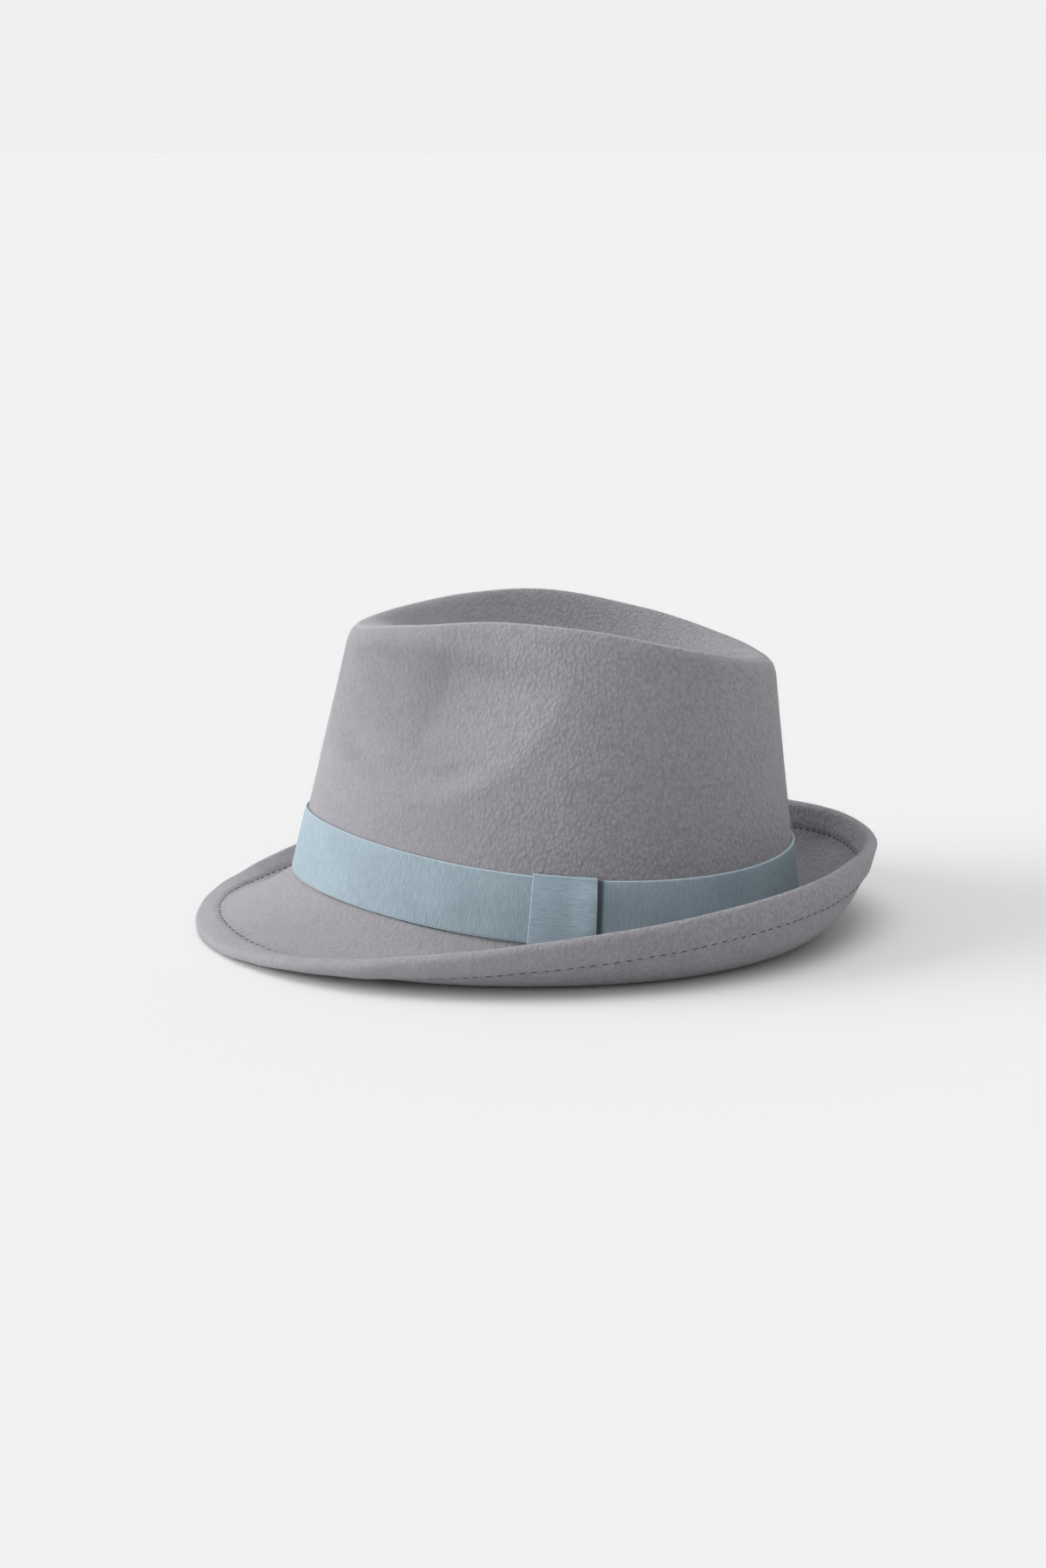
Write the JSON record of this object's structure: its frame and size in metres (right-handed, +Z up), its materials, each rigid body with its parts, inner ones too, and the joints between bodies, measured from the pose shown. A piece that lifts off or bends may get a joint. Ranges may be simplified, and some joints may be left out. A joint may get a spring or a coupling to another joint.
{
  "type": "trilby hat",
  "caption": "Grey felt trilby with a creased, front-pinched crown, a pale blue ribbon band with an upright folded keeper, and a short brim turned down in front and up behind.",
  "frame": {"origin": "middle of the hat's outline seen from above, on the plane it rests on", "axes": "+Z up, -Y the front of the hat, +X the wearer's left, where the ribbon's keeper is"},
  "size_m": [0.246, 0.269, 0.1248],
  "materials": {
    "felt": "mid grey blocked felt with a short mottled nap",
    "ribbon": "pale grey blue ribbed ribbon, matt with a slight sheen",
    "keeper_ribbon": "the same ribbon turned so that its ribs lie level"
  },
  "bodies": {
    "root": {"felt_body": "felt", "ribbon_band": "ribbon", "ribbon_keeper": "keeper_ribbon"}
  },
  "joints": []
}
